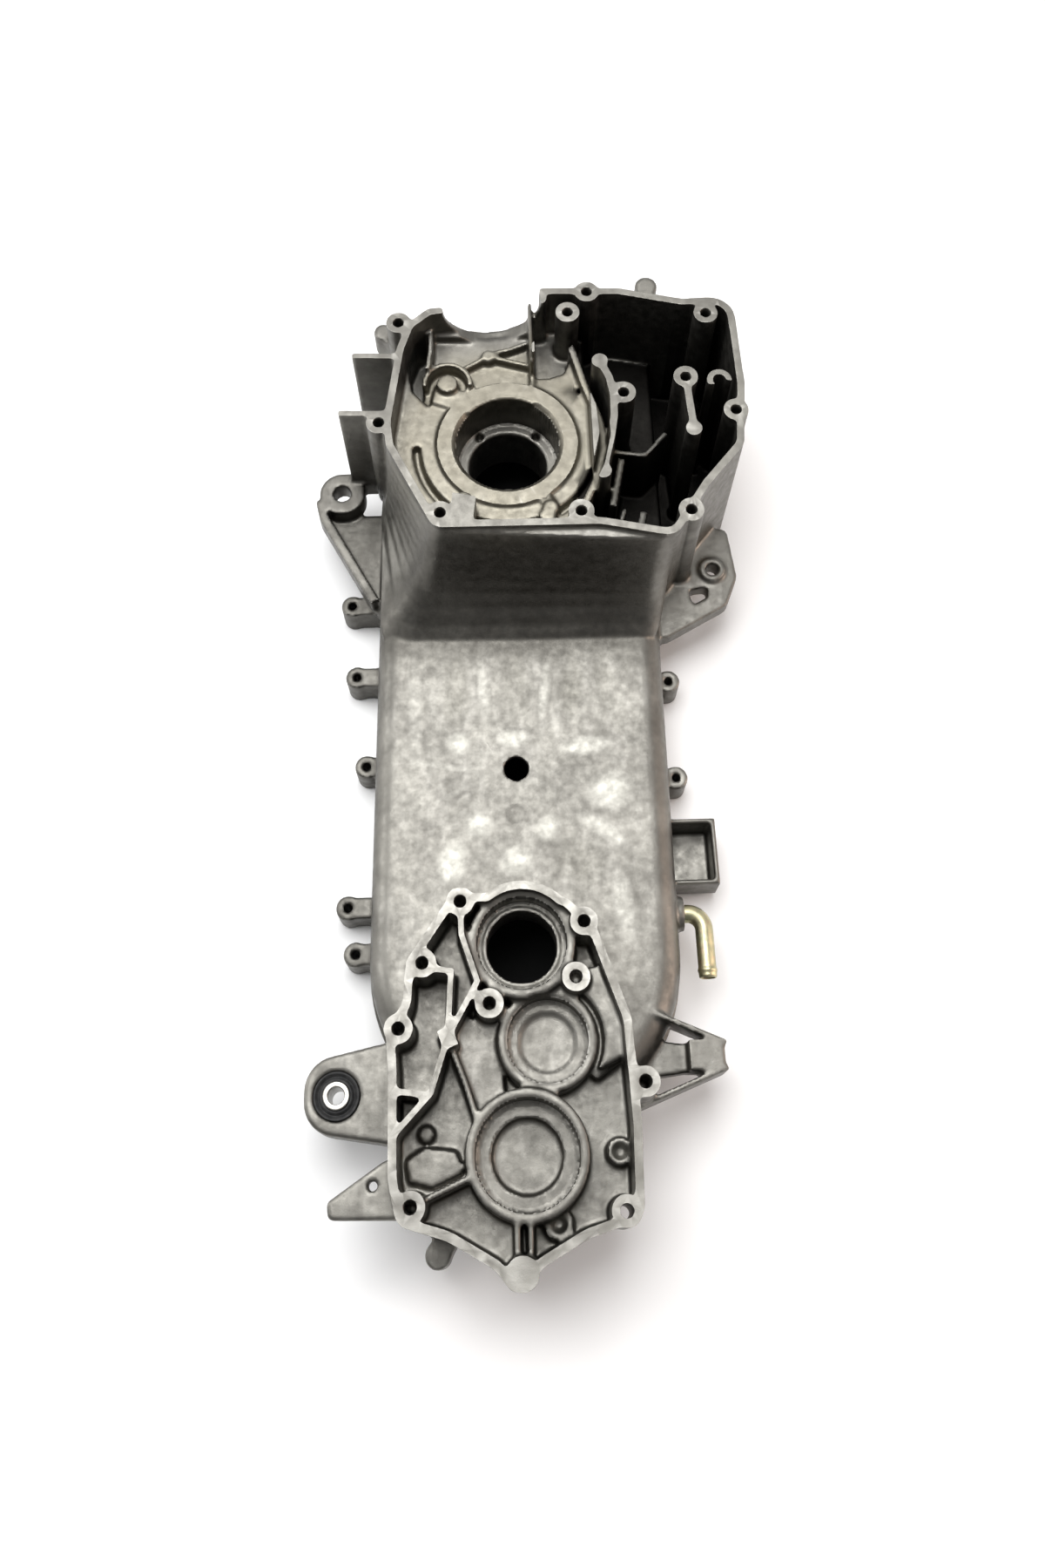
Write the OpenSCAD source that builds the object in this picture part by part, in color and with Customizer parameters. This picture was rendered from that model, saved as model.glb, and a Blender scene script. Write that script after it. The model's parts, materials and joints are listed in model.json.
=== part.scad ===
// Left crankcase half of a belt-drive scooter engine, lying on its belt-cover face.
// Heights are taken from the cover face. The origin is in the middle of the main bearing seat.

/* [Shafts] */
// Distance from the crankshaft to the clutch shaft
shaft_distance = 290; // [280:1:305]
// Countershaft to the right of the clutch shaft
counter_x = 12; // [9:0.5:14]
// Countershaft behind the clutch shaft
counter_drop = 48; // [47:0.5:49.5]
// Final shaft behind the clutch shaft
final_drop = 102; // [100.5:0.5:103]

/* [Heights above the cover face] */
// Back of the belt case
case_depth = 50; // [47:1:53]
// Joint face of the gearbox
gear_face = 85; // [83:1:90]
// Joint face of the crank chamber
joint_face = 125; // [120:1:132]
// Underside of the gearbox behind the belt case
gear_under = 44; // [40:1:46]
// Lowest end of the sump
sump_foot = 9; // [5:1:14]

/* [Walls] */
// Wall of the belt case
case_wall = 4; // [3:0.5:5]
// Wall under the joint faces
rim_wall = 4.5; // [3.5:0.5:5]
// Ribs inside the gearbox
rib_wall = 3; // [2:0.5:4]
// Floor of the sump and the gearbox
floor_wall = 6; // [4:0.5:7]

/* [Belt case] */
// Radius of both ends of the case
case_r = 85.5; // [83:0.5:88]
// Front end of the case set to the right of the crankshaft
case_front_x = 5.5; // [3:0.5:6]
// Rear end of the case set to the right of the clutch shaft
case_rear_x = 2; // [0:0.5:3]
// Rounding of the back edge
edge_r = 13; // [9:1:16]
// Flange for the belt cover, outside the wall
flange_out = 2.5; // [1.5:0.5:4]
// Thickness of that flange
flange_t = 8; // [6:1:10]
// Cover screw bosses
screw_boss_r = 7; // [6.5:0.5:8]
// Height of the cover screw bosses
screw_boss_h = 22; // [16:1:26]
// Holes for the cover screws
screw_r = 2.5; // [2:0.25:3]
// Drain hole through the back of the case
drain_d = 14; // [10:1:16]

/* [Main bearing] */
// Seat of the main bearing
main_seat_d = 62; // [60:1:64]
// Depth of the seat
main_seat_depth = 17; // [15:1:18]
// Hole for the crankshaft
main_hole_d = 47.5; // [44:0.5:50]
// Top of the seat above the cover face
main_seat_top = 90; // [86:1:93]
// Boss around the main bearing
main_boss_d = 106; // [104:1:108]
// Face of that boss
main_boss_top = 101; // [99:1:104]
// Wide mouth above the seat
main_mouth_d = 84; // [78:1:90]

/* [Gearbox bearings] */
// Seat of the clutch shaft bearing
clutch_seat_d = 47; // [45:1:48]
// Depth of that seat
clutch_seat_depth = 14; // [12:1:15]
// Hole for the clutch shaft
clutch_hole_d = 39; // [36:1:41]
// Seat of the countershaft bearing
counter_seat_d = 42; // [40:1:43]
// Depth of that seat
counter_seat_depth = 12; // [10:1:13]
// Seat of the final shaft bearing
final_seat_d = 52; // [50:1:54]
// Depth of that seat
final_seat_depth = 15; // [13:1:16]
// Wall around the gearbox seats
seat_wall = 5; // [4:0.5:5.5]

/* [Bolts] */
// Bosses on the joint faces
bolt_boss_r = 7.5; // [6.5:0.5:8]
// Tapped holes in the joint faces
bolt_r = 3; // [2.5:0.25:3.5]
// Depth of the tapped holes
bolt_depth = 24; // [18:1:26]
// Bevel at the mouth of a tapped hole
bolt_bevel = 1; // [0.5:0.25:1.5]

/* [Cylinder] */
// Half hole that takes the foot of the cylinder
cylinder_d = 61; // [58:1:63]
// Lean of the cylinder from the line through the shafts
cylinder_lean = 5; // [3:0.5:7]
// Cylinder foot face in front of the crankshaft
cylinder_face = 88; // [86:1:90]

/* [Shock absorber ear] */
// Bush to the left of the clutch shaft
bush_x = 98; // [95:1:102]
// Bush behind the clutch shaft
bush_drop = 70; // [67:1:73]
// Hole in the ear
bush_hole_d = 24; // [22:1:26]
// Metal around that hole
ear_wall = 5; // [4:0.5:7]
// Thickness of the ear
ear_t = 20; // [16:1:24]
// Underside of the ear
ear_low = 34; // [30:1:38]
// Outside of the steel sleeve
sleeve_d = 14; // [12:0.5:15]
// Hole in the steel sleeve
sleeve_hole_d = 8.5; // [8:0.5:10.5]
// How far the sleeve stands out of the rubber at each end
sleeve_stand = 1.5; // [0.5:0.5:3]

/* [Breather elbow] */
// Outside of the elbow tube
elbow_d = 11; // [9.5:0.5:12]
// Hole in the elbow tube
elbow_hole_d = 8; // [6:0.5:8.5]
// Bend radius at the middle of the tube
elbow_bend_r = 9; // [8:0.5:12]
// Straight length behind the bend
elbow_leg = 26; // [20:1:30]
// Elbow in front of the clutch shaft
elbow_y = 22; // [19:1:26]
// Height of the elbow
elbow_z = 32; // [29:1:35]
// Depth of the elbow in its boss
elbow_grip = 9; // [7:1:10]

/* [Duct] */
// Outside length of the cooling duct
duct_l = 38; // [34:1:42]
// How far the duct stands out of the case
duct_out = 27; // [24:1:30]
// Wall of the duct
duct_wall = 3; // [2:0.5:4]
// Height of its upper edge
duct_top = 30; // [26:1:32]

/* [Hidden] */
$fn = 48;
eps = 0.01;
over = 1;
case_skew = case_front_x - case_rear_x;
case_angle = atan(case_skew / shaft_distance);
case_length = norm([case_skew, shaft_distance]);
seat_floor = main_seat_top - main_seat_depth;
seat_mid = main_seat_top - main_seat_depth / 2;
groove_floor = main_boss_top - 6;
ledge_top = main_boss_top + 2;
gear_floor = case_depth + floor_wall;
gear_seat_top = gear_face - 5;
counter_seat_top = gear_face - 11;
bush_at = [-bush_x, -bush_drop];
ear_r = bush_hole_d / 2 + ear_wall;
counter_at = [counter_x, -counter_drop];
final_at = [0, -final_drop];

// Height of the cylinder foot face along the top of the joint face
function front_y(x) = cylinder_face + x * tan(cylinder_lean);

// Corners of the crank joint face as [x, y, rounding]
face_left = [[-73.5, 3, 10], [-71.5, -13, 8], [-44, -67.5, 9]];
face_low_right = [94, -77, 11];
face_corners = concat(
    [[-47, front_y(-47), 2], [-60, 73, 8], [-66, 55, 20]], face_left,
    [[52, -68, 30], face_low_right, [116, -44, 30], [138.5, -18, 12], [143, 24, 20],
     [141.5, 88, 32], [110, 87, 16], [72, 96, 12], [22, 97.5, 2], [22, front_y(22), 0]]);

// Bolt bosses on the crank joint face
face_bolts = [[-65, 74], [-76, 3], [-40, -58], [41, -59], [104, -60], [136, 6], [124, 76],
              [51.5, 94]];
// Bolt pillars that stand free: beside the cylinder and inside the sump
cylinder_pillar = [39, 79];
sump_pillars = [[70, 20], [108, 30]];

// Corners of the gearbox joint face, from the clutch shaft
gear_corners = [[-36, 26, 4], [-48, 9, 10], [-60.5, -9, 8], [-62, -30, 10], [-70.5, -42, 8],
                [-69, -62, 20], [-68.5, -112, 20], [-64, -132, 9], [-40, -139, 30],
                [-17, -152, 14], [-6, -166, 7], [5, -152, 14], [28, -140, 30], [55.5, -132, 8],
                [57, -90, 30], [55, -40, 24], [39, 7, 12], [24, 22, 10]];
// Outside of the round rim over the clutch shaft
clutch_rim_r = 31;
// Bolt bosses on the gearbox joint face, from the clutch shaft
gear_bolts = [[-32, 21], [33, 9], [-52, -10], [-64, -42], [60, -70.5], [-57.5, -124]];
gear_inner_bolts = [[-17.5, -31], [27.5, -19]];
// The one bolt hole that goes right through, from the clutch shaft
gear_through = [47, -128.5];
// Where the inner ribs of the gearbox meet
rib_node = [-39, -47];

// Cover screw bosses, from the crankshaft and from the clutch shaft
front_screws = [[-100, -69], [-96, -117], [95, -125]];
rear_screws = [[-89, 116], [95, 104], [-98, 33], [-93, 7]];

front_ear_at = [-106, 0];
sump_ear_at = [125.5, -59.5];
rear_lug_at = [-78, -113];

// Points of the arc that rounds corner p between neighbours a and b
function arc(a, p, b, r, n) =
    let (u = (a - p) / norm(a - p), v = (b - p) / norm(b - p),
         half = acos(u * v) / 2,
         t = min(r / tan(half), 0.49 * norm(a - p), 0.49 * norm(b - p)),
         rr = t * tan(half),
         c = p + (u + v) / norm(u + v) * rr / sin(half),
         s = p + u * t - c, e = p + v * t - c,
         turn = atan2(s.x * e.y - s.y * e.x, s * e))
    [for (i = [0:n]) let (g = turn * i / n)
        c + [s.x * cos(g) - s.y * sin(g), s.x * sin(g) + s.y * cos(g)]];

// Outline of a polygon whose corners [x, y, rounding] are rounded
function outline(k, n = 6) =
    [for (i = [0:len(k) - 1])
        let (a = k[(i + len(k) - 1) % len(k)], p = k[i], b = k[(i + 1) % len(k)])
        each (p[2] > 0 ? arc([a.x, a.y], [p.x, p.y], [b.x, b.y], p[2], n) : [[p.x, p.y]])];

// Normal of one stretch of a path, and the mitred side step at point i
function side(a, b) = [a.y - b.y, b.x - a.x] / norm(b - a);
function step_at(p, i) =
    i == 0 ? side(p[0], p[1])
    : i == len(p) - 1 ? side(p[i - 1], p[i])
    : let (m = side(p[i - 1], p[i]) + side(p[i], p[i + 1]))
      m * 2 / (m * m);

// Flat wall of width w along the points p
module strip(p, w) {
    polygon(concat(
        [for (i = [0:len(p) - 1]) p[i] + step_at(p, i) * w / 2],
        [for (i = [len(p) - 1:-1:0]) p[i] - step_at(p, i) * w / 2]));
}

module at_clutch() {
    translate([0, -shaft_distance]) children();
}

module slab(low, high) {
    translate([0, 0, low]) linear_extrude(high - low) children();
}

module dots(places, r) {
    for (p = places) translate(p) circle(r = r);
}

module hole(p, low, high, d) {
    translate([p.x, p.y, low]) cylinder(d = d, h = high - low, $fn = d > 20 ? 96 : 36);
}

// Long round-ended body of the belt case with end radius r and a rounded upper edge e
module case_body(r, low, h, e) {
    profile = concat([[0, low], [r, low]],
        [for (i = [0:6]) [r - e + e * cos(i * 15), h - e + e * sin(i * 15)]], [[0, h]]);
    translate([case_front_x, 0, 0]) rotate(-case_angle) {
        rotate_extrude(angle = 180, $fn = 72) polygon(profile);
        translate([0, -case_length, 0]) rotate(180)
            rotate_extrude(angle = 180, $fn = 72) polygon(profile);
        rotate([90, 0, 0]) linear_extrude(case_length)
            polygon(concat(profile, [for (i = [len(profile) - 1:-1:0])
                [-profile[i].x, profile[i].y]]));
    }
}

module case_flange() {
    slab(0, flange_t) translate([case_front_x, 0]) rotate(-case_angle) {
        circle(r = case_r + flange_out, $fn = 96);
        translate([0, -case_length]) circle(r = case_r + flange_out, $fn = 96);
        translate([-case_r - flange_out, -case_length])
            square([2 * (case_r + flange_out), case_length]);
    }
}

// Sloping wall that runs from the crank joint face down to the back of the belt case
module skirt() {
    rings = 9;
    low = case_depth - 3;
    top = joint_face - rim_wall;
    top_path = outline(concat([[-58, 30, 0]], face_left, [face_low_right, [100, -50, 0]]), 8);
    left = case_front_x - case_r;
    low_path = outline([[-58, 30, 0], [left + 1, 8, 10], [left - 1, -20, 8],
        [left - 2, -111, 20], [90, -111, 16], [91, -50, 0]], 8);
    count = len(top_path);
    // An even slope at first, then a sweep out to the case
    points = [for (j = [0:rings]) let (t = j / rings, s = 0.42 * t + 0.58 * pow(t, 5))
        each [for (i = [0:count - 1])
            let (q = top_path[i] * (1 - s) + low_path[i] * s)
            [q.x, q.y, top - t * (top - low)]]];
    sides = [for (j = [0:rings - 1], i = [0:count - 1])
        let (a = j * count + i, b = j * count + (i + 1) % count)
        each [[a, b, a + count], [b, b + count, a + count]]];
    polyhedron(points, concat(sides,
        [[for (i = [count - 1:-1:0]) i], [for (i = [0:count - 1]) rings * count + i]]));
}

module face_shape() {
    polygon(outline(face_corners));
    dots(face_bolts, bolt_boss_r);
}

module face_inside() {
    difference() {
        offset(r = -rim_wall) polygon(outline(face_corners));
        dots(face_bolts, bolt_boss_r);
    }
}

// Everything to the right of a line, for what lies beside the belt case
module right_of(edge) {
    translate([edge, -120]) square([200, 260]);
}

module block() {
    slab(case_depth - edge_r - 2, joint_face) face_shape();
    slab(sump_foot, joint_face) intersection() {
        face_shape();
        right_of(case_r - 12);
    }
    skirt();
}

// Wall between the crank chamber and the sump
module partition() {
    strip([[41, 66], [47.5, 40], [56.5, 12], [57.5, -8], [53, -27], [44, -46]], rim_wall);
}

// Ledge in front of the main bearing with its small bosses and pockets
module ledge() {
    difference() {
        polygon([[-49, 90], [-47, 62], [-43, 48], [-46, 30], [-20, 20], [16, 20], [18, 47],
                 [18, 90]]);
        difference() {
            translate([-36, 41]) circle(r = 14);
            translate([-36, 41]) circle(r = 7);
            polygon([[-36, 41], [-70, 41], [-70, 10], [10, 10], [10, 41]]);
        }
        strip([[-20, 70], [-8, 70.5], [4, 73.5], [15, 78]], rib_wall);
        strip([[-20, 55.5], [-13, 58], [-5, 57]], 2 * rib_wall);
        polygon(outline([[-2, 59, 1.5], [13, 56, 1.5], [14, 67, 1.5], [5, 65, 2]], 3));
    }
    translate([-36, 41]) circle(r = 7);
}

module crank_chamber() {
    // Open chamber above the ledge and the bearing boss
    slab(ledge_top, joint_face + over) difference() {
        face_inside();
        right_of(50);
        dots([cylinder_pillar], bolt_boss_r);
        partition();
        polygon([[-34, -70], [-22, -70], [-19, -48], [-33, -45]]);
        translate([22.5, -51]) circle(r = 5);
        translate([16, 50]) square([2, 40]);
    }
    slab(main_boss_top, ledge_top + over) difference() {
        face_inside();
        right_of(50);
        dots([cylinder_pillar], bolt_boss_r);
        partition();
        ledge();
        polygon([[-34, -70], [-22, -70], [-19, -48], [-33, -45]]);
        translate([22.5, -51]) circle(r = 5);
        translate([16, 50]) square([2, 40]);
    }
    // Groove behind the bearing boss
    slab(groove_floor, ledge_top) difference() {
        circle(r = main_boss_d / 2 + 4.5, $fn = 96);
        circle(d = main_boss_d, $fn = 96);
        translate([-70, 0]) square([140, 80]);
    }
    // Deep pocket along the left wall
    slab(seat_floor + 5, ledge_top + over) difference() {
        intersection() {
            face_inside();
            polygon([[-49, 92], [-47, 62], [-43, 48], [-47, 27], [-58, 40], [-61, 60],
                     [-60, 80]]);
        }
        circle(r = main_boss_d / 2 + 1, $fn = 96);
    }
    // Lower floor beside the cylinder
    slab(main_seat_top - 8, joint_face + over) difference() {
        intersection() {
            face_inside();
            polygon([[18, 47], [18, 100], [50, 100], [50, 40], [44, 44], [40, 60], [36, 50],
                     [27, 47]]);
        }
        dots([cylinder_pillar], bolt_boss_r);
        partition();
    }
}

// Hole, seat and bevelled mouth of the main bearing
module main_bore() {
    low = case_depth - case_wall - 12;
    hole([0, 0], low, seat_floor + 2, main_hole_d);
    hole([0, 0], seat_floor, joint_face + over, main_seat_d);
    translate([0, 0, main_seat_top]) cylinder(d1 = main_seat_d + 2, d2 = main_mouth_d,
        h = main_boss_top - main_seat_top + eps, $fn = 96);
}

// Half hole for the cylinder foot, with its axis in the joint face
module cylinder_foot() {
    translate([0, 0, joint_face]) rotate(cylinder_lean)
        translate([0, main_boss_d / 2 + 3, 0]) rotate([-90, 0, 0])
        cylinder(d = cylinder_d, h = 60, $fn = 96);
}

module sump_shape() {
    difference() {
        intersection() {
            face_inside();
            right_of(44);
        }
        partition();
        circle(r = main_boss_d / 2 + 4, $fn = 72);
        dots(concat(sump_pillars, [cylinder_pillar]), bolt_boss_r);
        dots([[57, 43], [55, -33], [110, -6]], 5);
        strip([[57, 43], [62, 31], [64, 18], [63.5, 4], [61, -10], [55, -33]], rim_wall);
        strip([[108, 30], [109, 12], [110, -6]], rim_wall);
        polygon([[30, 30], [30, 100], [50, 100], [50, 55], [44, 44]]);
        difference() {
            translate([128, 27]) circle(r = 7.5);
            translate([128, 27]) circle(r = 4);
            translate([128, 10]) rotate(20) square([12, 14]);
            translate([116, 10]) square([12, 14]);
        }
    }
}

// Baffles that end below the joint face
module sump_baffles() {
    strip([[62, -9], [82, -12], [96, 3]], rib_wall);
    strip([[68, -14], [61, -46]], rim_wall);
    strip([[62, -66], [68, -48]], rib_wall);
    strip([[74, -70], [79, -50]], rim_wall);
}

module sump_cavity() {
    slab(joint_face - 20, joint_face + over) sump_shape();
    slab(case_depth + case_wall, joint_face - 20 + over) difference() {
        sump_shape();
        sump_baffles();
    }
    slab(sump_foot + floor_wall, joint_face - 20 + over) difference() {
        intersection() {
            sump_shape();
            right_of(case_r + case_front_x + case_wall);
        }
        sump_baffles();
    }
}

module gear_shape() {
    polygon(outline(gear_corners));
    circle(r = clutch_rim_r, $fn = 72);
    dots(concat(gear_bolts, [gear_through]), bolt_boss_r);
}

// Walls and pillars that reach the joint face of the gearbox
module gear_walls() {
    dots(concat(gear_bolts, gear_inner_bolts, [gear_through]), bolt_boss_r);
    strip([[-32, 21], [-31.5, 4], [-23.5, -20], rib_node, [-47.5, -73], [-65, -91]], rib_wall);
    strip([[-52, -12], [-37, -14.5], rib_node], rib_wall);
    strip([[-66, -71.5], [-48, -74]], rib_wall);
    translate(rib_node) rotate(20) square([8, 10], center = true);
}

// Lower ribs and steps on the floor of the gearbox
module gear_low_walls() {
    strip([[-60, -125], [-46.5, -119], [-20, -108]], rib_wall);
    strip([[-6, -125], [-6, -152]], rib_wall);
    strip([[0.5, -125], [0.5, -152]], rib_wall);
    strip([rib_node, [-30.5, -68], [-25, -85]], rib_wall);
}

module gear_steps() {
    polygon([rib_node, [-33, -33], [-14, -38], [-10, -75], [-25, -85], [-30.5, -68]]);
    polygon([[20, -14], [39, -12], [53, -40], [52, -57], [37, -67], [28, -60]]);
}

module gear_pads() {
    translate([14.5, -133]) circle(r = 7);
    translate([46.7, -101]) circle(r = 6.5);
    translate([-51, -90]) circle(r = 4);
    polygon(outline([[-52, -96, 3], [-62, -102, 3], [-60, -112, 3], [-48, -115, 3],
        [-31, -108, 3], [-36, -98, 3]], 3));
}

module gear_chamber() {
    module inside() {
        difference() {
            offset(r = -rim_wall) union() {
                polygon(outline(gear_corners));
                circle(r = clutch_rim_r, $fn = 72);
            }
            gear_walls();
        }
    }
    module seats() {
        circle(d = clutch_seat_d + 2 * seat_wall, $fn = 72);
        translate(final_at) circle(d = final_seat_d + 2 * seat_wall, $fn = 72);
    }
    module counter_boss() {
        translate(counter_at) circle(d = counter_seat_d + 2 * seat_wall, $fn = 72);
    }
    slab(gear_seat_top, gear_face + over) inside();
    slab(counter_seat_top, gear_seat_top + over) difference() {
        inside();
        seats();
        gear_low_walls();
    }
    slab(gear_floor + 10, counter_seat_top + over) difference() {
        inside();
        seats();
        counter_boss();
        gear_low_walls();
    }
    slab(gear_floor + 4, gear_floor + 10 + over) difference() {
        inside();
        seats();
        counter_boss();
        gear_low_walls();
        gear_steps();
    }
    slab(gear_floor, gear_floor + 4 + over) difference() {
        inside();
        seats();
        counter_boss();
        gear_low_walls();
        gear_steps();
        gear_pads();
    }
}

// Seats of the three gearbox bearings, from the clutch shaft
module gear_bores() {
    top = gear_face + over;
    counter_floor = counter_seat_top - counter_seat_depth;
    final_floor = gear_seat_top - final_seat_depth;
    hole([0, 0], case_depth - case_wall - 8, gear_seat_top, clutch_hole_d);
    hole([0, 0], gear_seat_top - clutch_seat_depth, top, clutch_seat_d);
    hole(counter_at, counter_floor, counter_seat_top + eps, counter_seat_d);
    hole(counter_at, counter_seat_top, top, counter_seat_d + 2);
    hole(counter_at, counter_floor - 1.5, top, counter_seat_d - 12);
    hole(final_at, final_floor, top, final_seat_d);
    hole(final_at, final_floor - 4, top, final_seat_d - 16);
}

module tapped(p, face) {
    translate([p.x, p.y, face - bolt_depth]) cylinder(r = bolt_r, h = bolt_depth + over, $fn = 32);
    translate([p.x, p.y, face - bolt_bevel])
        cylinder(r1 = bolt_r, r2 = bolt_r + bolt_bevel + over, h = bolt_bevel + over, $fn = 32);
}

module screw_lug(p) {
    slab(0, screw_boss_h) {
        translate(p) circle(r = screw_boss_r);
        strip([p, [p.x * 0.8, p.y]], screw_boss_r * 1.7);
    }
}

// Two plates that carry the air pipe, across the left wall of the block
module left_plates() {
    slab(case_depth - 10, joint_face) {
        strip([[-100, 10], [-68, 9]], rib_wall + 0.5);
        strip([[-93, 50.5], [-62, 49.5]], rib_wall + 0.5);
    }
}

module front_ear() {
    slab(case_depth - 22, case_depth - 6) {
        translate(front_ear_at) circle(r = 14.5);
        strip([[-106, 10.5], [-70, 10.5]], 8);
        strip([[-120, -4], [-117, -17], [-84, -76]], 6);
    }
    slab(case_depth - 30, case_depth - 18) polygon([[-119, -10], [-78, -10], [-78, -80],
        [-84, -78]]);
}

module sump_ear() {
    slab(28, 40) polygon(outline([[96, -30, 0], [137.5, -30, 5], [141, -64, 10], [133, -83, 8],
        [96, -103, 8], [80, -107, 0]]));
    slab(28, 43) translate(sump_ear_at) circle(r = 8);
}

module shock_ear() {
    front = bush_at + [-1, 0.98] * ear_r;
    rear = bush_at + [-1, -0.98] * ear_r;
    slab(ear_low, ear_low + ear_t) polygon(outline([[-60, -42, 0], [-80, -46, 6],
        [front.x, front.y, ear_r], [rear.x, rear.y, ear_r], [-76, -93, 8], [-60, -96, 0]], 8));
}

module rear_lug() {
    slab(gear_under + 6, gear_under + 16) polygon(outline([[-60, -98, 0], [-73, -102, 4],
        [-101, -120, 3], [-100, -128, 3], [-60, -129, 0]]));
}

module rear_stub() {
    slab(gear_under - 22, gear_under + 4) {
        translate([-46, -145]) circle(r = 6.5);
        strip([[-46, -145], [-36, -128]], 12);
    }
}

module side_bracket() {
    slab(case_depth - 24, case_depth) {
        strip([[54, -26], [107, -49]], rib_wall);
        strip([[56, -80], [107, -61]], rib_wall);
        translate([87, -62.5]) square([19, 15.5]);
    }
    slab(case_depth - 24, case_depth - 10)
        polygon([[54, -44], [88, -48], [88, -62], [54, -66]]);
}

module duct_box(skin) {
    translate([case_r - 6, 39 + skin, 4 + skin])
        cube([duct_out + 6 + case_rear_x - skin, duct_l - 2 * skin,
              duct_top - 4 + (skin > 0 ? over : 0) - skin + (skin > 0 ? skin : 0)]);
}

module elbow_boss() {
    translate([case_r - 14, elbow_y, elbow_z]) rotate([0, 90, 0])
        cylinder(d = elbow_d + 8, h = 20);
}

module outer_lugs() {
    // Ring in front of the sump
    slab(joint_face - 26, joint_face - 10) {
        translate([90, 105]) circle(r = 7);
        strip([[90, 105], [88, 90]], 12);
    }
    // Lug under the front left bolt boss
    slab(joint_face - 42, joint_face - 22) {
        translate([-76, 83]) circle(r = 6);
        strip([[-76, 83], [-62, 70]], 10);
    }
}

module crankcase_solid() {
    case_body(case_r, 0, case_depth, edge_r);
    case_flange();
    block();
    left_plates();
    front_ear();
    sump_ear();
    outer_lugs();
    for (p = front_screws) screw_lug(p);
    at_clutch() {
        for (p = rear_screws) screw_lug(p);
        slab(gear_under, gear_face) gear_shape();
        shock_ear();
        rear_lug();
        rear_stub();
        side_bracket();
        duct_box(0);
        elbow_boss();
    }
}

module belt_chamber() {
    roof = case_depth - case_wall;
    difference() {
        case_body(case_r - case_wall, -over, roof, edge_r - case_wall);
        hole([0, 0], roof - 10, roof + over, main_hole_d + 16);
        hole([0, -shaft_distance], roof - 6, roof + over, clutch_hole_d + 14);
    }
}

module crankcase() {
    color("silver") translate([0, 0, -seat_mid]) difference() {
        crankcase_solid();
        belt_chamber();
        crank_chamber();
        sump_cavity();
        main_bore();
        cylinder_foot();
        for (p = concat(face_bolts, sump_pillars, [cylinder_pillar])) tapped(p, joint_face);
        for (p = front_screws) hole(p, -over, screw_boss_h + over, 2 * screw_r);
        hole([-36, 41], ledge_top - 10, ledge_top + over, 5);
        hole([-10.5, 62], ledge_top - 8, ledge_top + over, 3);
        hole(front_ear_at, 10, case_depth, 11);
        hole(sump_ear_at, 20, case_depth, 8);
        translate([0, 0, 20]) slab(0, 30)
            polygon(outline([[110, -72, 2], [122, -70, 2], [121, -77, 2], [112, -82, 2]], 3));
        at_clutch() {
            gear_chamber();
            gear_bores();
            for (p = concat(gear_bolts, gear_inner_bolts)) tapped(p, gear_face);
            hole(gear_through, gear_under - over, gear_face + over, 2 * bolt_r + 1);
            for (p = rear_screws) hole(p, -over, screw_boss_h + over, 2 * screw_r);
            hole(bush_at, ear_low - over, ear_low + ear_t + over, bush_hole_d);
            hole(rear_lug_at, gear_under, gear_under + 20, 5);
            duct_box(duct_wall);
            translate([case_r - 16, elbow_y, elbow_z]) rotate([0, 90, 0])
                cylinder(d = elbow_d, h = 30, $fn = 36);
            hole([0, 103.5], 0, 80, drain_d);
            // Two shallow round and oval marks, left plain
            hole([-1, 77], case_depth - 0.6, 80, 11);
        }
    }
}

module bush_rubber() {
    color("dimgray") at_clutch() translate([bush_at.x, bush_at.y, ear_low - seat_mid])
        difference() {
            cylinder(d = bush_hole_d, h = ear_t, $fn = 96);
            translate([0, 0, -over]) cylinder(d = sleeve_d, h = ear_t + 2 * over, $fn = 48);
        }
}

module bush_sleeve() {
    long = ear_t + 2 * sleeve_stand;
    color("lightgray") at_clutch()
        translate([bush_at.x, bush_at.y, ear_low - sleeve_stand - seat_mid]) difference() {
            cylinder(d = sleeve_d, h = long, $fn = 48);
            translate([0, 0, -over]) cylinder(d = sleeve_hole_d, h = long + 2 * over, $fn = 36);
        }
}

// Tube of the elbow with diameter d, longer by extra at both ends
module elbow_tube(d, extra) {
    translate([-extra, 0, 0]) rotate([0, 90, 0])
        cylinder(d = d, h = elbow_grip + 2 + extra, $fn = 36);
    translate([elbow_grip + 2, -elbow_bend_r, 0]) rotate_extrude(angle = 90)
        translate([elbow_bend_r, 0]) circle(d = d, $fn = 36);
    translate([elbow_grip + 2 + elbow_bend_r, -elbow_bend_r, 0]) rotate([90, 0, 0])
        cylinder(d = d, h = elbow_leg + extra, $fn = 36);
}

module breather_elbow() {
    start = case_r + 6 - elbow_grip;
    color("khaki") at_clutch() translate([start, elbow_y, elbow_z - seat_mid]) difference() {
        elbow_tube(elbow_d, 0);
        elbow_tube(elbow_hole_d, over);
    }
}

crankcase();
bush_rubber();
bush_sleeve();
breather_elbow();
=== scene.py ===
# %% [markdown]
# # Half of a scooter engine's crankcase
#
# The object is one die-cast aluminium housing that lies on its belt-cover face, with a
# rubber bush, a steel sleeve and a plated elbow pressed into it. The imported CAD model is
# exact, but every edge in it is razor sharp. A real housing has two kinds of surface. Molten
# metal makes round corners and a slightly wavy skin, and the milling cutter then leaves flat
# faces with crisp borders. This lesson gives the CAD shape both.

# %% Tools and the frame
import json
import math

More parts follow.
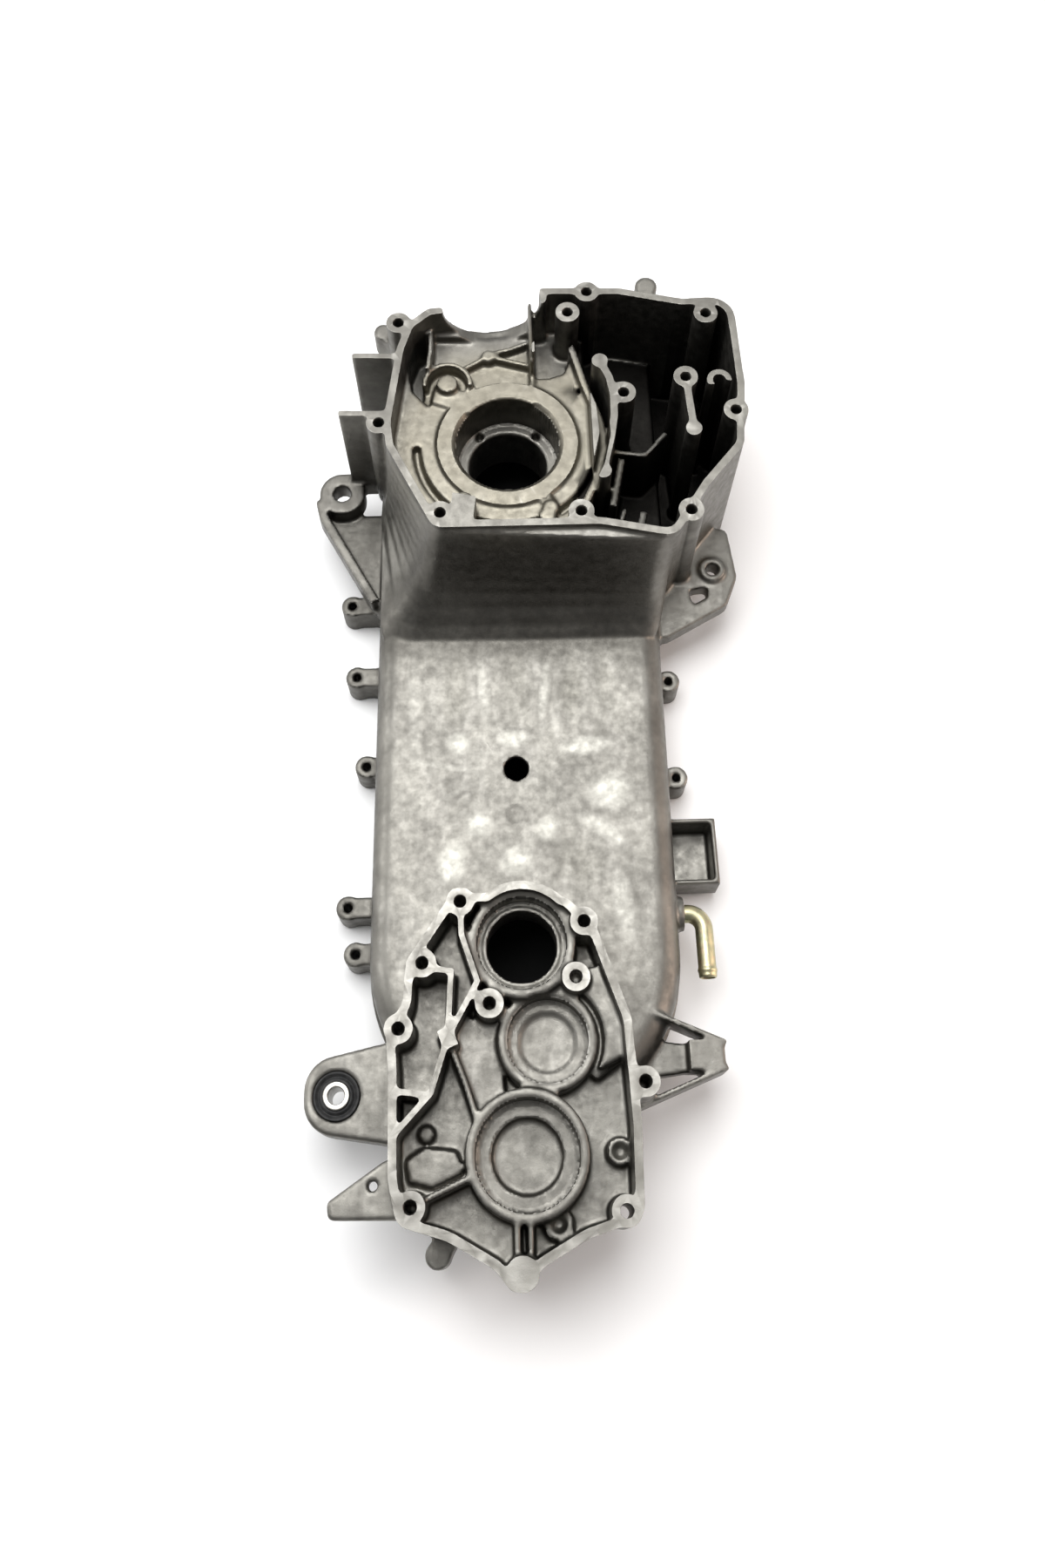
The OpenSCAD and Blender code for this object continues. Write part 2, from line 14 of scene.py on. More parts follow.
import bmesh
import bpy
import numpy as np
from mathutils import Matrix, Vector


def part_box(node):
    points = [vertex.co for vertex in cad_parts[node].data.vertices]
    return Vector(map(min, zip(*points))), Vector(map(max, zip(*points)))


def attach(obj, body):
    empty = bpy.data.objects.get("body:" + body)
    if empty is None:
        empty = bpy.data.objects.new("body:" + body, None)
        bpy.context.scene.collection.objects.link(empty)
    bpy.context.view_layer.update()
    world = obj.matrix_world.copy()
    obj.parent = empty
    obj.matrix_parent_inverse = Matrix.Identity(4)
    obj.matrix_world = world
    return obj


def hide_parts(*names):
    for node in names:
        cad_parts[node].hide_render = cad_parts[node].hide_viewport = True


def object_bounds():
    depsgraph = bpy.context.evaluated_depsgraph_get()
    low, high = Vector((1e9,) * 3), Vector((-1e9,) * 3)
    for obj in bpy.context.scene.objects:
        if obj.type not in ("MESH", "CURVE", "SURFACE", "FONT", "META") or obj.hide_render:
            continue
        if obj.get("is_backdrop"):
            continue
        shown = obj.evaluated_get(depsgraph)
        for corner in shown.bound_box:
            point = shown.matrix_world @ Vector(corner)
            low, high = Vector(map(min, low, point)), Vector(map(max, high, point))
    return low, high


MM = 0.001
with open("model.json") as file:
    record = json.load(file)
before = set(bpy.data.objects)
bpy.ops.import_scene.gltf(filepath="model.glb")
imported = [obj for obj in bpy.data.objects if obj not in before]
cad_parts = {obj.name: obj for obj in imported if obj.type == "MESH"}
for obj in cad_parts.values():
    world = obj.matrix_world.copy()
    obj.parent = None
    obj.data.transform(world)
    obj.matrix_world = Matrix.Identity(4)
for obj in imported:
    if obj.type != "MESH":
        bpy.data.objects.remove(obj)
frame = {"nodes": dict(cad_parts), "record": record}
cad_box = [list(corner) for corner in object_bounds()]
mounts = {mount["name"]: mount for mount in frame["record"]["mounts"]}


def place_of(name):
    """Where the record puts one of its mounts."""
    return np.array(mounts[name]["pos_m"])


crank_face = place_of("crank_joint_face")[2]
gear_face = place_of("gearbox_joint_face")[2]
ground = place_of("belt_cover_face")[2]
clutch = place_of("clutch_bearing_seat")
gearbox_edge = clutch[1] + 60 * MM  # the gearbox's milled face lies to the rear of this
print("faces at", [round(z / MM, 1) for z in (ground, gear_face, crank_face)], "mm")

# %% [markdown]
# ## Helpers for finishes
#
# Every finish below is a small network of nodes. One function adds a node, sets its
# properties, and fills its inputs with numbers or with other nodes' outputs. Two more build
# what nearly every finish has: spots of a certain size, and a tint that is laid over a
# colour where some value is high.

# %% Shader helpers


def linear(colour):
    """Turn an sRGB hex colour such as 0x9b9a96 to the linear RGBA that shaders add up in."""
    parts = np.array([(colour >> 16) & 255, (colour >> 8) & 255, colour & 255]) / 255
    parts = np.where(parts <= 0.04045, parts / 12.92, ((parts + 0.055) / 1.055) ** 2.4)
    return [*parts.tolist(), 1.0]


def add(tree, kind, inputs=None, **settings):
    """Add a shader node with its settings; an input is a value or another node's output."""
    made = tree.nodes.new("ShaderNode" + kind)
    for name, value in settings.items():
        setattr(made, name, value)
    for name, value in (inputs or {}).items():
        if isinstance(value, bpy.types.NodeSocket):
            tree.links.new(value, made.inputs[name])
        else:
            made.inputs[name].default_value = value
    return made


def new_finish(name, metallic, roughness):
    """A material; returns it with its tree, its shader and the place on the object."""
    finish = bpy.data.materials.new(name)
    finish.use_nodes = True
    shader = finish.node_tree.nodes["Principled BSDF"]
    shader.inputs["Metallic"].default_value = metallic
    shader.inputs["Roughness"].default_value = roughness
    where = add(finish.node_tree, "TexCoord").outputs["Object"]
    return finish, finish.node_tree, shader, where


def spots(tree, where, size, low, high, detail=3.0, rough=0.6, distort=0.0, least=0.0, most=1.0):
    """Noise with spots about size metres wide, stretched from low..high to least..most."""
    noise = add(tree, "TexNoise", {"Vector": where, "Scale": 1 / size, "Detail": detail,
                                   "Roughness": rough, "Distortion": distort})
    return add(tree, "MapRange", {"Value": noise.outputs["Fac"], "From Min": low,
                                  "From Max": high, "To Min": least,
                                  "To Max": most}).outputs["Result"]


def tinted(tree, colour, tint, value, low=0.0, high=1.0, most=1.0):
    """Lay a tint over a colour; its share grows from 0 to most while the value goes low..high."""
    share = add(tree, "MapRange", {"Value": value, "From Min": low, "From Max": high,
                                   "To Min": 0.0, "To Max": most})
    # A Mix node has a set of sockets for each kind of data; 6, 7 and output 2 are for colours.
    return add(tree, "Mix", {0: share.outputs["Result"], 6: colour, 7: linear(tint)},
               data_type="RGBA").outputs[2]


# %% [markdown]
# ## The die-cast skin
#
# The casting could be bevelled edge by edge, but its CAD mesh has thousands of edges that
# meet at all angles, and bevels fail there. So its points are worked on as whole arrays of
# numbers instead. The CAD mesh is loose triangles, so the first step is a copy whose
# doubled points are merged, because only a closed mesh can be cut and remade.

# %% Helpers that read and write a mesh


def points_of(mesh):
    """All the points of a mesh as rows of x, y, z."""
    flat = np.empty(len(mesh.vertices) * 3, np.float32)
    mesh.vertices.foreach_get("co", flat)
    return flat.reshape(-1, 3).astype(float)


def put_points(mesh, points):
    """Move a mesh's points to these rows of x, y, z."""
    mesh.vertices.foreach_set("co", points.astype(np.float32).ravel())
    mesh.update()


def directions_of(mesh):
    """Outward directions at all the points."""
    flat = np.empty(len(mesh.vertices) * 3, np.float32)
    mesh.vertex_normals.foreach_get("vector", flat)
    return flat.reshape(-1, 3).astype(float)


def edges_of(mesh):
    """The numbers of the two points that each edge joins."""
    flat = np.empty(len(mesh.edges) * 2, np.int32)
    mesh.edges.foreach_get("vertices", flat)
    return flat.reshape(-1, 2)


def piece(name, mesh):
    """A new object in the scene, at the origin, with this mesh."""
    made = bpy.data.objects.new(name, mesh)
    bpy.context.scene.collection.objects.link(made)
    return made


def finished(thing):
    """The thing's mesh with its modifiers carried out."""
    graph = bpy.context.evaluated_depsgraph_get()
    return bpy.data.meshes.new_from_object(thing.evaluated_get(graph))


# %% A closed copy of the CAD casting
weld = bmesh.new()
weld.from_mesh(frame["nodes"]["crankcase"].data)
bmesh.ops.remove_doubles(weld, verts=weld.verts, dist=0.002 * MM)
raw = bpy.data.meshes.new("raw_casting")
weld.to_mesh(raw)
weld.free()
print("closed copy:", len(raw.vertices), "points")

# %% [markdown]
# ## Small forms inside the chambers
#
# The CAD model keeps the inside plain where only oil runs. The real one is full of low ribs,
# pockets and posts, so they are made here, each as a closed upright solid over an outline or
# a profile turned about an upright axis. Some are cut out of the casting with one Boolean.
# The others are simply laid into it, since the cells further down melt everything that
# overlaps into one skin.

# %% Closed upright solids
cut_away, laid_in = bmesh.new(), bmesh.new()


def put_in(into, points, faces):
    """Add a solid, given in millimetres with heights counted from the cover face."""
    solid = bpy.data.meshes.new("solid")
    solid.from_pydata((points * MM + [0, 0, ground]).tolist(), [], faces)
    into.from_mesh(solid)
    bpy.data.meshes.remove(solid)


def prism(into, outline, low, high):
    """An outline at a low and at a high level, with a wall between each two neighbours."""
    x, y = np.array(outline, float).T
    if np.sum(x * np.roll(y, -1) - y * np.roll(x, -1)) < 0:
        x, y = x[::-1], y[::-1]
    count = len(x)
    i, j = np.arange(count), np.roll(np.arange(count), -1)
    walls = np.stack([i, j, j + count, i + count], axis=1).tolist()
    points = np.stack([np.tile(x, 2), np.tile(y, 2), np.repeat([low, high], count)], axis=1)
    put_in(into, points, [i[::-1].tolist(), (i + count).tolist(), *walls])


def closed_grid(rows, columns):
    """The faces of a grid of points that closes on itself both ways, row after row."""
    i, j = np.meshgrid(np.arange(rows), np.arange(columns), indexing="ij")
    i2, j2 = (i + 1) % rows, (j + 1) % columns
    corners = [i * columns + j, i * columns + j2, i2 * columns + j2, i2 * columns + j]
    return np.stack(corners, axis=2).reshape(-1, 4).tolist()


def carried_round(profile, around):
    """Each profile point (radius, height) becomes a circle: x = r cos a, y = r sin a, z = h."""
    radius, height = np.array(profile, float).T[:, :, None]
    angle = np.arange(around) * math.tau / around
    grid = np.stack([radius * np.cos(angle), radius * np.sin(angle),
                     np.repeat(height, around, axis=1)], axis=2)
    return grid.reshape(-1, 3), closed_grid(len(radius), around)


def lathe(into, middle, profile, around=96):
    """A closed profile (radius, height), counterclockwise, carried round an upright axis."""
    points, faces = carried_round(profile, around)
    put_in(into, points + [*middle, 0], faces)


def sector(middle, r, start=0, end=360, around=28):
    """Points of a circle or of a part of one, angles in degrees from +X."""
    angle = np.radians(np.linspace(start, end, around, endpoint=end - start < 360))
    return np.stack([middle[0] + r * np.cos(angle), middle[1] + r * np.sin(angle)], axis=1)


def wall(path, width):
    """Outline of a wall: half the width to either side of a path, mitred at its corners."""
    path = np.array(path, float)
    way = np.diff(path, axis=0)
    side = np.stack([-way[:, 1], way[:, 0]], axis=1) / np.linalg.norm(way, axis=1)[:, None]
    joint = np.concatenate([side[:1], side[:-1] + side[1:], side[-1:]])
    is_end = np.arange(len(path)) % (len(path) - 1) == 0
    joint *= (width / 2) * np.where(is_end, 1, 2 / np.sum(joint ** 2, axis=1))[:, None]
    return np.concatenate([path + joint, (path - joint)[::-1]])


# %% Forms of the crank chamber
# All in millimetres from the crankshaft's axis. First the shelf behind the cylinder foot is
# lowered. An arc round the screw boss, a groove and two small pockets go down into it.
boss = (-36, 41)
prism(cut_away, [(-50, 78), (-49, 46), (-27, 38), (0, 42), (15, 40), (15, 79), (-20, 77)],
      97, 112)
prism(cut_away, np.concatenate([sector(boss, 12.5, -8, 188), sector(boss, 6.5, 188, -8)]),
      87, 99)
prism(cut_away, [(-4, 64), (13.5, 58), (13.5, 70)], 88, 99)
prism(cut_away, wall([(-20, 73), (-8, 73), (3, 75), (13, 78.5)], 3.5), 89, 99)
prism(cut_away, [(-19, 56), (-12, 59.5), (-7, 56.5), (-12, 54)], 89, 99)
# The wall between the chamber and the sump is lower than the joint face, and so is the small
# boss at its rear end.
prism(cut_away, wall([(41, 66), (47.5, 40), (56.5, 12), (57.5, -8), (53, -27), (44, -46)],
                     6.5), 107, 127)
prism(cut_away, sector((22.5, -51), 5.6), 106, 127)
# Two oil holes in the floor of the bearing seat.
for angle in (50, 128):
    place = sector((0, 0), 28, angle, angle + 1, 1)[0]
    prism(cut_away, sector(place, 2.3, around=16), 66, 74)
# The floor that fills the space below the shelf, the screw boss, and its arc-shaped wall.
prism(laid_in, [(-51, 27), (-51, 48), (-48, 66), (-47, 79), (-26, 79), (14, 81), (15, 40),
                (-30, 20)], 76, 97)
prism(laid_in, sector(boss, 6.5), 84, 107)
prism(laid_in, np.concatenate([sector(boss, 15.5, -8, 188), sector(boss, 12.5, 188, -8)]),
      85, 107)
# Ribs over the shelf and along its two sides.
prism(laid_in, wall([(-28, 53), (-10.5, 63), (16, 55)], 3), 85, 103)
prism(laid_in, wall([(-14, 64), (2, 67.5), (16, 73)], 3), 85, 103)
prism(laid_in, wall([(-46, 80), (-46, 66), (-48, 50)], 3), 85, 110)
prism(laid_in, wall([(16, 48), (16, 92)], 2.2), 85, 118)
# Two small bosses with a hole, a post and a short rib.
lathe(laid_in, (-10.5, 63), [(1.6, 92), (4.5, 92), (4.5, 103.5), (1.6, 103.5)], 32)
prism(laid_in, sector((-27, -47), 6.5), 92, 118)
lathe(laid_in, (24.5, -46), [(1.8, 92), (4.8, 92), (4.8, 106.5), (1.8, 106.5)], 32)
prism(laid_in, wall([(24.5, -43), (20, -36)], 7), 94, 103.5)
# The raised ring above the main bearing seat.
lathe(laid_in, (0, 0), [(31.2, 88.5), (43.5, 88.5), (43.5, 101.5), (42, 103.8), (34.4, 103.8),
                        (31.2, 100.6)])

# %% Forms of the gearbox
# All in millimetres from the clutch shaft's axis.
shaft_x, shaft_y = clutch[:2] / MM
# The step beside the countershaft's bearing seat, which lies lower than the floor.
counter = (shaft_x + 12, shaft_y - 48)
step = [(20, -14), (39, -12), (53, -40), (52, -57), (38, -63)]
prism(laid_in, np.concatenate([[(shaft_x + a, shaft_y + b) for a, b in step],
                               sector(counter, 29, -28, 71)]), 52, 74)
# Two posts, each with a cone for a screw's point.
for a, b, r in ((14.5, -133, 7.5), (46.5, -101, 6.5)):
    lathe(laid_in, (shaft_x + a, shaft_y + b), [(0.05, 50), (r, 50), (r, 66), (4.2, 66),
                                                (2.5, 63.5), (0.05, 63.5)], 40)
# The round rear tip, and a thin ring that narrows the clutch shaft's hole.
prism(laid_in, sector((shaft_x - 4, shaft_y - 154), 8), 46, 85)
lathe(laid_in, (shaft_x, shaft_y), [(18.6, 52), (20.9, 52), (20.9, 67.2), (18.6, 67.2)])
print("small forms:", len(cut_away.faces), "faces cut,", len(laid_in.faces), "laid in")

# %% [markdown]
# Milling comes after casting in the real shop, and so it does here. The faces that get
# milled are raised a little above their place now, and after the smoothing everything
# above the place is cut down flat. That is what makes their borders crisp.

# %% Cut, lay in and add the stock that milling takes off
cutter_mesh = bpy.data.meshes.new("cutter")
cut_away.to_mesh(cutter_mesh)
cut_away.free()
cutter, stamped = piece("cutter", cutter_mesh), piece("stamped", raw)
hollow = stamped.modifiers.new("hollow", "BOOLEAN")
hollow.operation = "DIFFERENCE"
hollow.object = cutter
hollow.solver = "EXACT"
hollow.use_self = True
raw = finished(stamped)
bpy.data.objects.remove(stamped)
bpy.data.objects.remove(cutter)
laid_in.from_mesh(raw)
laid_in.to_mesh(raw)
laid_in.free()
stock = 1.2 * MM
near = 0.02 * MM
points = points_of(raw)
in_gearbox = points[:, 1] < gearbox_edge
points[:, 2] += stock * (np.abs(points[:, 2] - crank_face) < near)
points[:, 2] += stock * ((np.abs(points[:, 2] - gear_face) < near) & in_gearbox)
points[:, 2] -= stock * (np.abs(points[:, 2] - ground) < near)
put_points(raw, points)
print("with small forms:", len(raw.vertices), "points")

# %% [markdown]
# Metal doesn't know about edges: it fills a mould whose corners are all round. So the mesh
# is remade from small even cells, and each point is then moved by its surface's own
# curvature. Inner corners fill up until their radius is that of a mould's fillet, and outer
# edges wear off. On a mesh with uneven triangles the same step would pull long ones flat.

# %% Even cells
cell = 1.05 * MM
blank = piece("blank", raw)
cells = blank.modifiers.new("cells", "REMESH")
cells.mode = "VOXEL"
cells.voxel_size = cell
skin = finished(blank)
bpy.data.objects.remove(blank)
print("cells:", len(skin.vertices), "points")

# %% Move the points by curvature


def step_to_neighbours(points, edges, count):
    """For each point, the way to the middle of the points that it is joined to."""
    a, b = edges.T
    links = np.bincount(a, minlength=count) + np.bincount(b, minlength=count)
    middle = np.stack([np.bincount(a, points[b, k], count) + np.bincount(b, points[a, k], count)
                       for k in range(3)], axis=1)
    return middle / np.maximum(links, 1)[:, None] - points


points, edges, count = points_of(skin), edges_of(skin), len(skin.vertices)
for turn in range(3):
    points += 0.5 * step_to_neighbours(points, edges, count)
# On a grid of cells of size h, the step towards the neighbours is h * h / 4 times the sum of
# both curvatures, so this is the step that a fillet of the wanted radius has.
fillet = 2.3 * MM
fillet_step = cell * cell / (4 * fillet)
for turn in range(24):
    if turn % 3 == 0:
        put_points(skin, points)
        outward = directions_of(skin)
    rise = np.sum(step_to_neighbours(points, edges, count) * outward, axis=1)
    points += 0.9 * np.maximum(rise - fillet_step, 0)[:, None] * outward
print("fillets of", fillet / MM, "mm filled")

# %% [markdown]
# The wall that sweeps down from the crank chamber is built from nine straight bands in the
# CAD model, and the bands show. Smoothing both ways takes them out: each turn moves the
# points towards their neighbours and then back by a little more than they came. Waves
# shorter than about a centimetre die, and the wall as a whole stays where it is.

# %% Smooth the swept wall


def ramp(values, low, high):
    """0 below low and 1 above high, smooth between; high may be the smaller one."""
    t = np.clip((values - low) / (high - low), 0, 1)
    return t * t * (3 - 2 * t)


x, y, z = (points / MM).T
above = z - ground / MM
# The wall has a part under the crank chamber and a part along its lower left side.
swept = np.maximum(ramp(y, -64, -72) * ramp(x, 92, 86),
                   ramp(-0.884 * x - 0.468 * y, 60, 66) * ramp(y, -4, -14))
swept *= ramp(above, 45, 52) * ramp(above, 120, 113) * ramp(y, -135, -120)
for turn in range(90):
    points += 0.50 * swept[:, None] * step_to_neighbours(points, edges, count)
    points -= 0.53 * swept[:, None] * step_to_neighbours(points, edges, count)
print("swept wall:", int((swept > 0.5).sum()), "points smoothed")

# %% [markdown]
# The flat back of the case isn't quite flat. Metal shrinks as it sets, and the die has been
# polished by hand, so there are four long hollows below the wall and some low mounds. They
# are all under a millimetre high, too little to see as shapes, but metal shows them by what
# it reflects.

# %% Hollows and mounds on the back
soft_forms = [  # x, y, half width, half length, turn in degrees, rise: all in millimetres
    (-34, -138, 8.5, 21, 0, -0.7), (1, -138, 8.5, 21, 0, -0.7), (34, -138, 7, 20, -6, -0.7),
    (55, -140, 6, 19, 8, -0.5), (-18, -140, 4, 20, 6, 0.35), (18, -140, 3.5, 20, -8, 0.4),
    (-33, -170, 7, 7, 0, 0.6), (-1, -168, 9, 6, 0, 0.6), (41, -174, 15, 6, 4, 0.5),
    (54, -201, 13, 11, 15, 0.6), (48, -223, 17, 5, -35, 0.45), (34, -242, 15, 14, 0, -0.6),
    (-22, -219, 8, 8, 30, 0.5), (-37, -240, 8, 12, -15, 0.6), (-1, -240, 10, 8, 0, 0.55),
    (17, -222, 9, 7, 20, 0.5), (-30, -198, 22, 2.5, 25, 0.25), (-42, -184, 22, 2.5, -12, 0.25),
    (-38, -212, 22, 3, 52, -0.25), (58, -268, 7, 22, 8, 0.4), (-58, -150, 5, 34, 0, 0.25)]


def soft_rise(x, y):
    """How high the back stands at x, y: each form is rise * exp(-(u * u + v * v) ** 1.5)."""
    total = np.zeros(len(x))
    for middle_x, middle_y, wide, long, turn, rise in soft_forms:
        c, s = math.cos(math.radians(turn)), math.sin(math.radians(turn))
        u = ((x - middle_x) * c + (y - middle_y) * s) / wide
        v = ((y - middle_y) * c - (x - middle_x) * s) / long
        total += rise * np.exp(-(u * u + v * v) ** 1.5)
    return total


back = ground + 50 * MM  # the outside of the belt case, seen from above
lift = soft_rise(x, y)
on_back = np.abs(points[:, 2] - back) < 1.5 * MM
points[:, 2] += lift * MM * on_back
print("soft forms:", len(soft_forms), "highest", round(float(lift.max()), 2), "mm")

# %% [markdown]
# The cutter's turn: whatever stands above a milled plane is cut down to it, and the walls
# of the bearing seats go to the exact radius that the record gives.

# %% Mill and bore
ring_top, ring_r = ground + 103 * MM, 44 * MM  # the raised ring above the main seat
lead_in = {"main_bearing_seat": 10.6 * MM}  # straight wall above the seat itself
seats = ["main_bearing_seat", "clutch_bearing_seat", "counter_bearing_seat",
         "final_bearing_seat"]


def bored(points, name, reach=0.75 * MM):
    """Points on the wall of a bearing seat, and the seat's middle and radius."""
    middle, seat = place_of(name), mounts[name]["dims"]
    radius, half = seat["r_mm"] * MM, seat["length_mm"] * MM / 2
    on = np.abs(np.hypot(*(points[:, :2] - middle[:2]).T) - radius) < reach
    on &= points[:, 2] > middle[2] - half + 0.6 * MM
    on &= points[:, 2] < middle[2] + half + lead_in.get(name, -0.6 * MM)
    return on, middle, radius


in_gearbox = points[:, 1] < gearbox_edge
points[:, 2] = np.clip(points[:, 2], ground, crank_face)
points[in_gearbox, 2] = np.minimum(points[in_gearbox, 2], gear_face)
in_ring = np.hypot(points[:, 0], points[:, 1]) < ring_r
points[in_ring, 2] = np.minimum(points[in_ring, 2], ring_top)
for name in seats:
    on, middle, radius = bored(points, name)
    flat = points[on, :2] - middle[:2]
    points[on, :2] = middle[:2] + flat / np.linalg.norm(flat, axis=1)[:, None] * radius
    print(name, on.sum(), "points bored")
put_points(skin, points)

# %% Fewer, larger triangles where the skin is flat
most_triangles = 190_000
casting = piece("casting", skin)
fewer = casting.modifiers.new("fewer", "DECIMATE")
fewer.ratio = most_triangles / (2 * len(skin.polygons))
fewer.use_collapse_triangulate = True
thinned = finished(casting)
casting.modifiers.clear()
casting.data = thinned
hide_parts("crankcase")
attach(casting, "root")
print("casting:", len(thinned.polygons), "faces")

# %% [markdown]
# ## What the casting knows about itself
#
# The finish isn't the same everywhere. Deep in the sump the metal is painted near black,
# partly oil stain and partly painted shade. The crank chamber has a warm tint, and the outer
# edges are painted lighter, partly wear from handling and partly painted highlight. The swept
# wall and the left side are darkened as painted shade, the mounds on the back get a painted
# sheen and the hollows painted shade. These are places on the object, so they are stored on
# the mesh as attributes that the finish reads.

# %% Attributes for the finish


def store(mesh, name, values):
    """Keep one number per point under a name that a shader can read."""
    attribute = mesh.attributes.new(name, "FLOAT", "POINT")
    attribute.data.foreach_set("value", values.astype(np.float32))


def within(outline, x, y):
    """Even-odd rule: a point is inside if a line from it to +X crosses the outline oddly."""
    inside = np.zeros(len(x), bool)
    for (ax, ay), (bx, by) in zip(outline, np.roll(outline, -1, axis=0)):
        crosses = (ay > y) != (by > y)
        inside ^= crosses & (x < ax + (y - ay) * (bx - ax) / (by - ay + 1e-9))
    return inside


points, edges, count = points_of(thinned), edges_of(thinned), len(thinned.vertices)
x, y, z = (points / MM).T
depth, above = crank_face / MM - z, z - ground / MM
sump_outline = np.array([(50, -66), (60, -70), (91, -72), (112, -42), (134, -14), (138, 24),
                         (135, 86), (108, 83), (70, 90), (50, 90)])
in_sump = within(sump_outline, x, y)
in_sump |= (x > 41) & (x < 60) & (y > -60) & (y < 90) & (depth > 24)
# Deeper in the sump is painted near black: partly oil stain and partly painted shade.
store(thinned, "oil_and_shade", in_sump * ramp(depth, 8, 30))
in_chamber = ramp(np.hypot(x, y), 78, 60) * ramp(depth, 48, 38) * ramp(depth, 2, 8)
store(thinned, "warm", in_chamber)

# %% Worn edges and painted highlight
# How far a point stands out from its neighbours, as a share of its edges' mean length.
lengths = np.linalg.norm(points[edges[:, 0]] - points[edges[:, 1]], axis=1)
joined = sum(np.bincount(edges[:, k], lengths, count) for k in (0, 1))
links = np.bincount(edges.ravel(), minlength=count)
outward = directions_of(thinned)
fall = -np.sum(step_to_neighbours(points, edges, count) * outward, axis=1)
fall /= joined / np.maximum(links, 1)
# Edges that stand out are painted lighter: partly wear from handling and partly painted
# highlight.
store(thinned, "wear_and_highlight", ramp(fall, 0.14, 0.40))
print("worn points:", int((fall > 0.2).sum()))

# %% Painted shade on two walls, painted sheen and shade on the back
# The swept wall under the crank chamber and the low left side are painted darker as painted
# shade.
swept_wall_shade = ramp(y, -62, -70) * ramp(above, 122, 112) * ramp(y, -128, -108) * ramp(x, 92, 70)
left_wall_shade = ramp(x, -72, -79) * ramp(above, 47, 40)
store(thinned, "shade", np.maximum(swept_wall_shade, 0.8 * left_wall_shade))
# The mounds on the back are painted lighter as painted sheen, and the hollows darker as painted
# shade.
store(thinned, "relief_sheen_and_shade", soft_rise(x, y) * (np.abs(points[:, 2] - back) < 2 * MM))
print("dull points:", int((swept_wall_shade > 0.5).sum()), "and", int((left_wall_shade > 0.5).sum()))

# %% Which faces were milled or bored


def faces_of(mesh):
    """Each face's middle and direction, as rows of x, y, z."""
    middles = np.empty(len(mesh.polygons) * 3, np.float32)
    normals = np.empty(len(mesh.polygons) * 3, np.float32)
    mesh.polygons.foreach_get("center", middles)
    mesh.polygons.foreach_get("normal", normals)
    return middles.reshape(-1, 3).astype(float), normals.reshape(-1, 3).astype(float)


middles, normals = faces_of(thinned)
up, down = normals[:, 2] > 0.995, normals[:, 2] < -0.995
milled = up & (np.abs(middles[:, 2] - crank_face) < 0.1 * MM)
milled |= up & (np.abs(middles[:, 2] - gear_face) < 0.1 * MM) & (middles[:, 1] < gearbox_edge)
milled |= down & (np.abs(middles[:, 2] - ground) < 0.1 * MM)
turned = up & (np.hypot(middles[:, 0], middles[:, 1]) < ring_r)
turned &= np.abs(middles[:, 2] - ring_top) < 0.1 * MM
for name in seats:
    on, middle, radius = bored(middles, name)
    turned |= on
    away = np.hypot(*(middles[:, :2] - middle[:2]).T)
    bottom = middle[2] - mounts[name]["dims"]["length_mm"] * MM / 2
    turned |= (away < radius) & up & (np.abs(middles[:, 2] - bottom) < 0.4 * MM)
kinds = np.where(turned, 2, np.where(milled, 1, 0)).astype(np.int32)
print("milled", int(milled.sum()), "and turned", int(turned.sum()), "faces")

# %% Sharp borders, smooth skin
# An edge is sharp if its two faces meet at over 40 degrees or have different finishes.
loop_edges = np.empty(len(thinned.loops), np.int32)
thinned.loops.foreach_get("edge_index", loop_edges)
loop_faces = np.repeat(np.arange(len(thinned.polygons)), 3)
order = np.argsort(loop_edges, kind="stable")
one, other = loop_faces[order].reshape(-1, 2).T
cosine = np.sum(normals[one] * normals[other], axis=1)
sharp = (cosine < math.cos(math.radians(40))) | (kinds[one] != kinds[other])
thinned.edges.foreach_set("use_edge_sharp", sharp)
thinned.polygons.foreach_set("use_smooth", np.ones(len(thinned.polygons), bool))
thinned.polygons.foreach_set("material_index", kinds)
thinned.update()
print("sharp edges:", int(sharp.sum()))

# %% [markdown]
# ## Die-cast aluminium
#
# Bare aluminium straight from the die is a dull grey metal. Its skin froze in patches, so
# it is blotchy over a few centimetres, wavy over about one, and grainy like fine sandpaper.
# Pale streaks run the way the metal flowed, and steep walls are darkened as painted shade.
# The grain here is drawn at 0.8 mm, coarser than the real 0.2 mm, because the finer one
# would vanish in the picture.

# %% The as-cast colour
as_cast, tree, shader, where = new_finish("die_cast_aluminium", metallic=1.0, roughness=0.45)
blotch = spots(tree, where, 26 * MM, 0.36, 0.64, rough=0.55, distort=0.4)
cloud = spots(tree, where, 7 * MM, 0.35, 0.68)
along = add(tree, "Mapping", {"Vector": where, "Scale": (1.0, 0.3, 1.0)}).outputs[0]
streak = spots(tree, along, 9 * MM, 0.5, 0.72, rough=0.5)
# How upright each face is; the steeper it is, the darker it is painted, as painted shade.
facing = add(tree, "NewGeometry").outputs["Normal"]
slope_for_shade = add(tree, "SeparateXYZ", {0: facing}).outputs["Z"]
stored = {name: add(tree, "Attribute", attribute_name=name).outputs["Fac"]
          for name in ("shade", "relief_sheen_and_shade", "warm", "wear_and_highlight", "oil_and_shade")}
colour = linear(0x6C6A65)
